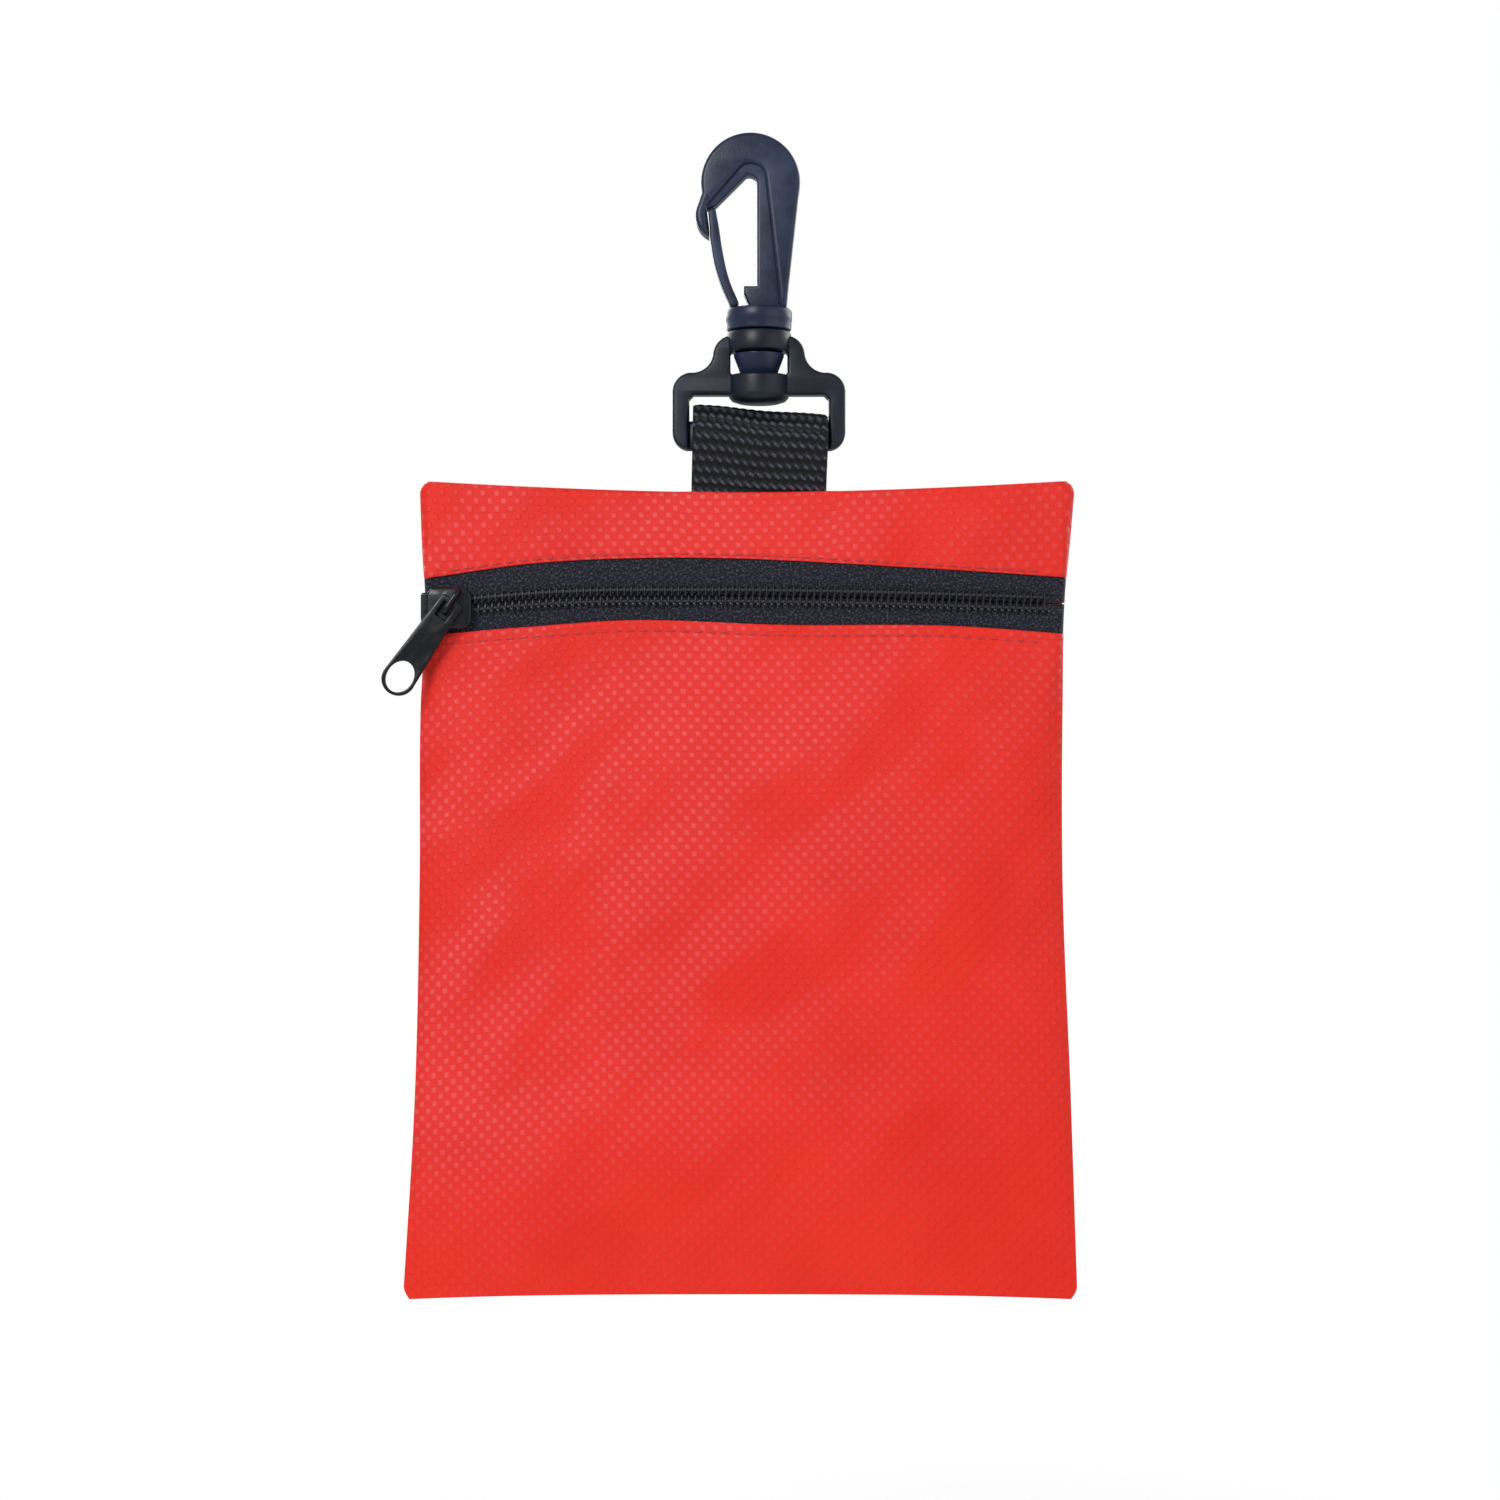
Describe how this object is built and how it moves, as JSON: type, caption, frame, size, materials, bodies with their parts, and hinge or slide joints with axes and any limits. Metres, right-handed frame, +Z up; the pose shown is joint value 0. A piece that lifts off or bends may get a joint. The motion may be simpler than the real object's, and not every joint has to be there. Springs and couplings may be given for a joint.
{
  "type": "first aid kit",
  "caption": "Flat zipped cloth pouch holding wound dressings, hung by a webbing loop from a swivelling plastic snap hook.",
  "frame": {"origin": "bearing point at the top of the hook's eye, where a ring or loop carries the kit", "axes": "+Z up along the hanging kit, +X to the right seen from the zipped front, +Y to the back"},
  "size_m": [0.1245, 0.0136, 0.2088],
  "materials": {
    "hook_plastic": "moulded acetal, satin, blue-black",
    "black_webbing": "woven polypropylene webbing",
    "red_cloth": "non-woven polypropylene embossed with small dots",
    "red_thread": "polyester sewing thread",
    "zip_tape": "woven polyester tape",
    "zip_coil": "nylon coil teeth",
    "slider_metal": "black enamel, semi-gloss",
    "paper": "uncoated paper",
    "sachet_white": "sealed medical paper sachet",
    "sachet_foil": "laminated foil sachet"
  },
  "bodies": {
    "hook": {"hook_body": "hook_plastic"},
    "gate": {"hook_gate": "hook_plastic"},
    "base": {"swivel_base": "hook_plastic"},
    "pouch": {"webbing_loop": "black_webbing", "back_panel": "red_cloth", "top_strip": "red_cloth", "zip_tape_upper": "zip_tape", "zip_coil_upper": "zip_coil", "zip_stitches_upper": "red_thread", "seam_threads": "red_thread", "first_aid_leaflet": "paper", "gauze_pads": "sachet_white", "ointment_sachet": "sachet_foil", "antiseptic_wipes": "sachet_foil", "adhesive_bandages": "paper"},
    "front": {"front_panel": "red_cloth", "zip_tape_lower": "zip_tape", "zip_coil_lower": "zip_coil", "zip_stitches_lower": "red_thread"},
    "slider": {"slider_body": "slider_metal"},
    "pull": {"pull_tab": "slider_metal"}
  },
  "joints": [
    {"name": "gate_flex", "type": "hinge", "parent": "hook", "child": "gate", "pos_m": [-0.0029, 0, -0.02245], "axis": [0, 1, 0], "range_deg": [0, 20], "stiffness_Nm_per_rad": 0.05, "springref_deg": -5.73},
    {"name": "base_swivel", "type": "hinge", "parent": "hook", "child": "base", "pos_m": [0.0016, 0, -0.0294], "axis": [0, 0, 1], "continuous": true},
    {"name": "pouch_swing", "type": "hinge", "parent": "base", "child": "pouch", "pos_m": [0.0016, 0, -0.04625], "axis": [1, 0, 0], "range_deg": [-110, 110]},
    {"name": "mouth_open", "type": "hinge", "parent": "pouch", "child": "front", "pos_m": [-0.0017, 0, -0.2006], "axis": [1, 0, 0], "range_deg": [0, 8], "deforming": ["front_panel", "zip_tape_lower", "zip_coil_lower", "zip_stitches_lower"]},
    {"name": "zip_slide", "type": "slide", "parent": "pouch", "child": "slider", "axis": [1, 0, 0], "range_m": [0, 0.1035]},
    {"name": "pull_flip", "type": "hinge", "parent": "slider", "child": "pull", "pos_m": [-0.053, -0.00585, -0.0763], "axis": [-0.8241, 0, 0.5664], "range_deg": [0, 150]}
  ],
  "couplings": [
    {"joint": "mouth_open", "follows": "zip_slide", "rad_per_m": 1.34}
  ]
}
